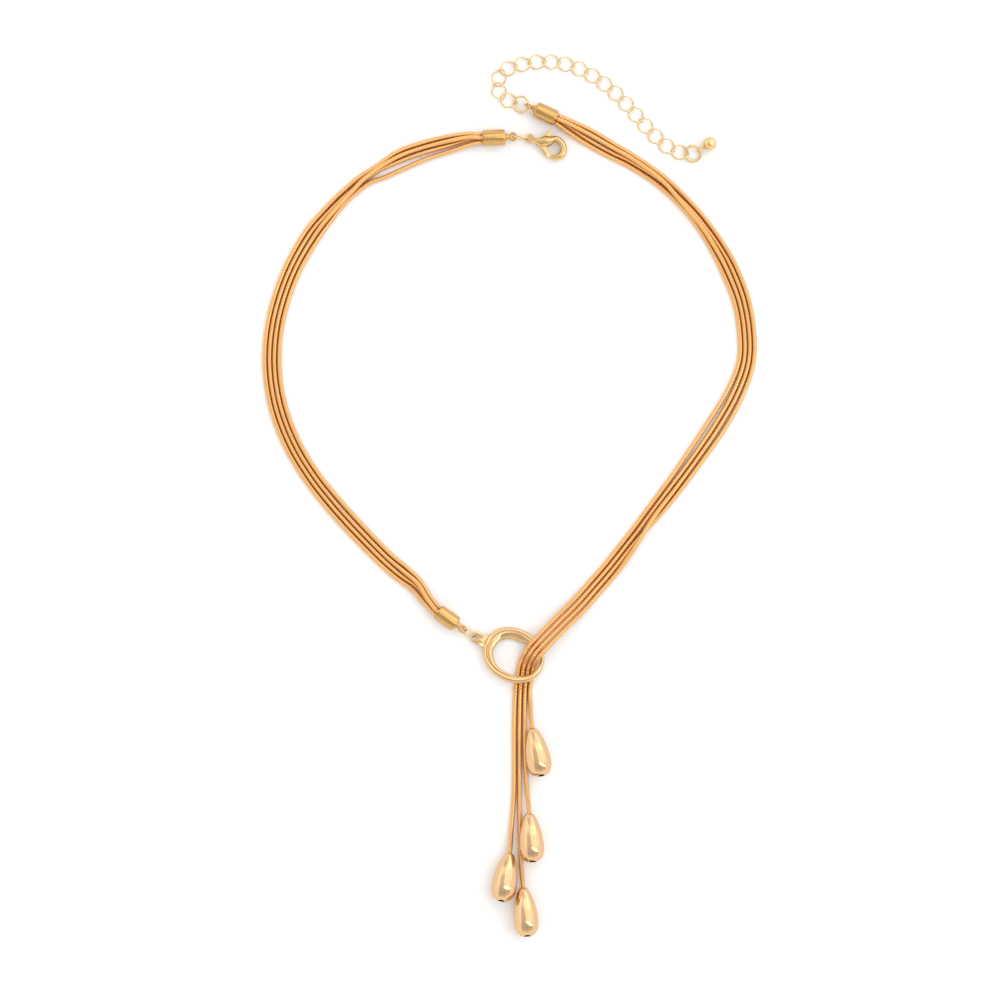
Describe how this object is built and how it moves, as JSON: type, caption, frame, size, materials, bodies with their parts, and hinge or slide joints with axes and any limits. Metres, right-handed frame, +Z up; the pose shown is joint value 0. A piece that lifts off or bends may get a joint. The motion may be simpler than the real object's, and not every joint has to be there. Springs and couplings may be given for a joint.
{
  "type": "tassel necklace",
  "caption": "Gold-coloured necklace of parallel snake chains drawn through a twisted ring into a tassel with teardrop beads, with a lobster clasp and an extender chain.",
  "frame": {"origin": "centre of the lying necklace's bounding box, on the surface it lies on", "axes": "+Y points from the tassel to the clasp, +X to the side whose chains carry the beads, +Z up from the surface"},
  "size_m": [0.1237, 0.2201, 0.0064],
  "materials": {
    "cap": "polished",
    "snake_chain": "polished",
    "bead": "polished",
    "ring": "polished",
    "clasp": "polished",
    "link": "polished"
  },
  "bodies": {
    "necklace": {"clasp_cap": "cap", "extender_cap": "cap", "ring_cap": "cap", "left_strand_1": "snake_chain", "left_strand_2": "snake_chain", "left_strand_3": "snake_chain", "left_strand_4": "snake_chain", "right_strand_1": "snake_chain", "right_strand_2": "snake_chain", "right_strand_3": "snake_chain", "right_strand_4": "snake_chain", "bead_1": "bead", "bead_2": "bead", "bead_3": "bead", "bead_4": "bead", "twisted_ring": "ring", "ring_link": "link", "clasp_link": "link", "clasp_body": "clasp", "clasp_pin": "clasp", "extender_jump_ring": "link", "extender_link_01": "link", "extender_link_02": "link", "extender_link_03": "link", "extender_link_04": "link", "extender_link_05": "link", "extender_link_06": "link", "extender_link_07": "link", "extender_link_08": "link", "extender_link_09": "link", "extender_link_10": "link", "extender_link_11": "link", "extender_link_12": "link", "extender_link_13": "link", "extender_link_14": "link", "extender_link_15": "link", "extender_link_16": "link", "extender_link_17": "link", "extender_link_18": "link", "end_ring": "link", "end_ball": "link"},
    "clasp_lever": {"clasp_gate": "clasp"}
  },
  "joints": [
    {"name": "clasp_lever_hinge", "type": "hinge", "parent": "necklace", "child": "clasp_lever", "pos_m": [0.00796, 0.08733, 0.0013], "axis": [0, 0, 1], "range_deg": [0, 28], "stiffness_Nm_per_rad": 0.006}
  ]
}
